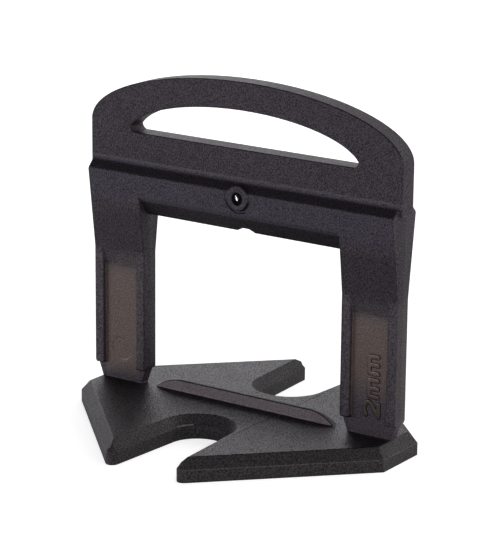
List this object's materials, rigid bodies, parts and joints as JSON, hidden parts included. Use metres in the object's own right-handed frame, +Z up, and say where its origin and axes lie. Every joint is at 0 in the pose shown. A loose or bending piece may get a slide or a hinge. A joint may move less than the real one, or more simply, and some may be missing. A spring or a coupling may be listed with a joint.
{
  "type": "tile levelling clip",
  "caption": "Moulded stirrup on a notched base plate: the thin legs space a tile joint, a wedge in the window pulls the tiles level, and the legs snap off at their necks.",
  "frame": {"origin": "centre of the base plate's underside", "axes": "+X along the tile joint, +Y across the joint and away from the side with the gate mark, +Z up from the base to the handle"},
  "size_m": [0.038, 0.035, 0.0366],
  "materials": {
    "black_plastic": "fine-grained black polypropylene, matte"
  },
  "bodies": {
    "root": {"levelling_clip": "black_plastic"}
  },
  "joints": []
}
